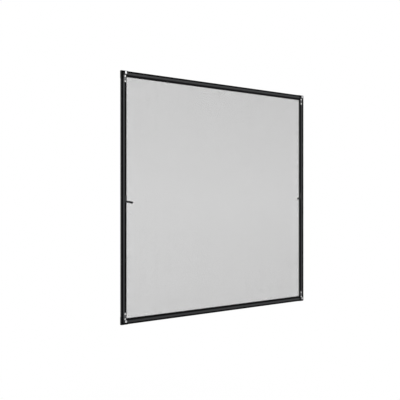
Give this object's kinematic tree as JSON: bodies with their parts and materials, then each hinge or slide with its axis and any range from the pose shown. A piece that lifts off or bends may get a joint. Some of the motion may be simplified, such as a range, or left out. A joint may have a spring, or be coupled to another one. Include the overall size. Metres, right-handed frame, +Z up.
{
  "type": "window insect screen frame",
  "caption": "Flat hook-in window screen: slim hollow rails over moulded corners, stretched insect mesh, brush seals, steel hooks and soft pull tabs.",
  "frame": {"origin": "centre of the top rail's raised face, on the side that faces the window", "axes": "+X across the window, +Z up, -Y towards the window"},
  "size_m": [1.202, 0.0217, 1.202],
  "materials": {
    "rail_coating": "anthracite powder coat, fine satin",
    "corner_plastic": "fine-grained moulded",
    "hook_steel": "brushed stainless",
    "screw_steel": "bright",
    "spline_rubber": "smooth matt",
    "brush_pile": "dense pile",
    "mesh_yarn": "coated glass yarn",
    "tab_plastic": "soft satin"
  },
  "bodies": {
    "root": {"rail_bottom": "rail_coating", "spline_bottom": "spline_rubber", "brush_seal_bottom": "brush_pile", "rail_left": "rail_coating", "spline_left": "spline_rubber", "brush_seal_left": "brush_pile", "rail_top": "rail_coating", "spline_top": "spline_rubber", "brush_seal_top": "brush_pile", "rail_right": "rail_coating", "spline_right": "spline_rubber", "brush_seal_right": "brush_pile", "corner_bottom_left": "corner_plastic", "hook_bottom_left": "hook_steel", "corner_top_left": "corner_plastic", "hook_top_left": "hook_steel", "corner_top_right": "corner_plastic", "hook_top_right": "hook_steel", "corner_bottom_right": "corner_plastic", "hook_bottom_right": "hook_steel", "hook_screws": "screw_steel", "insect_mesh": "mesh_yarn", "pull_tab_left": "tab_plastic", "pull_tab_right": "tab_plastic"}
  },
  "joints": []
}
